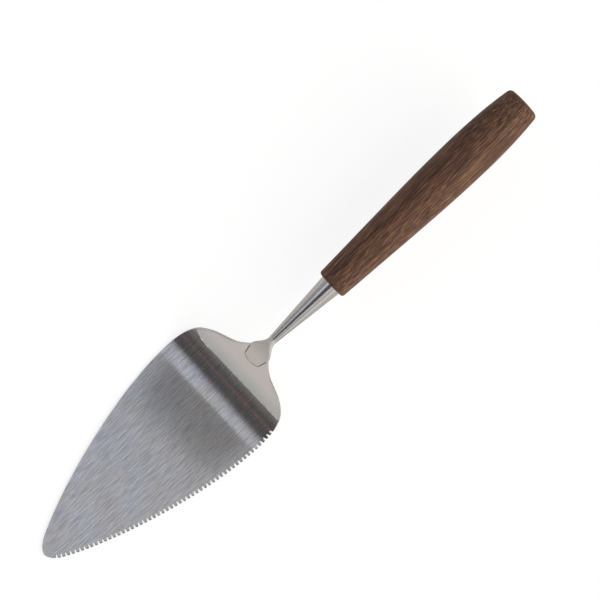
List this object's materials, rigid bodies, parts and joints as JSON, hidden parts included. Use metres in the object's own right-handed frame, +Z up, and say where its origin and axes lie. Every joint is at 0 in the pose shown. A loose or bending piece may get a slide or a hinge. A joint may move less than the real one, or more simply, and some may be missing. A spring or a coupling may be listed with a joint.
{
  "type": "cake server",
  "caption": "Cake server with a cranked steel blade toothed along one edge, a tapered stem welded on by a flat palm, and a turned walnut handle.",
  "frame": {"origin": "on the surface that the blade lies on, under the middle of the server's overall length", "axes": "+X from the tip of the blade to the rear end of the handle, +Y to the plain edge (the teeth are on the -Y side), +Z up from the flat underside of the blade"},
  "size_m": [0.2641, 0.0556, 0.0404],
  "materials": {
    "blade_steel": "stainless steel, brushed along its length",
    "stem_steel": "stainless steel, satin polished",
    "epoxy_glue": "cured epoxy",
    "walnut": "oiled walnut, open pored"
  },
  "bodies": {
    "root": {"blade": "blade_steel", "stem": "stem_steel", "glue_sleeve": "epoxy_glue", "handle": "walnut"}
  },
  "joints": []
}
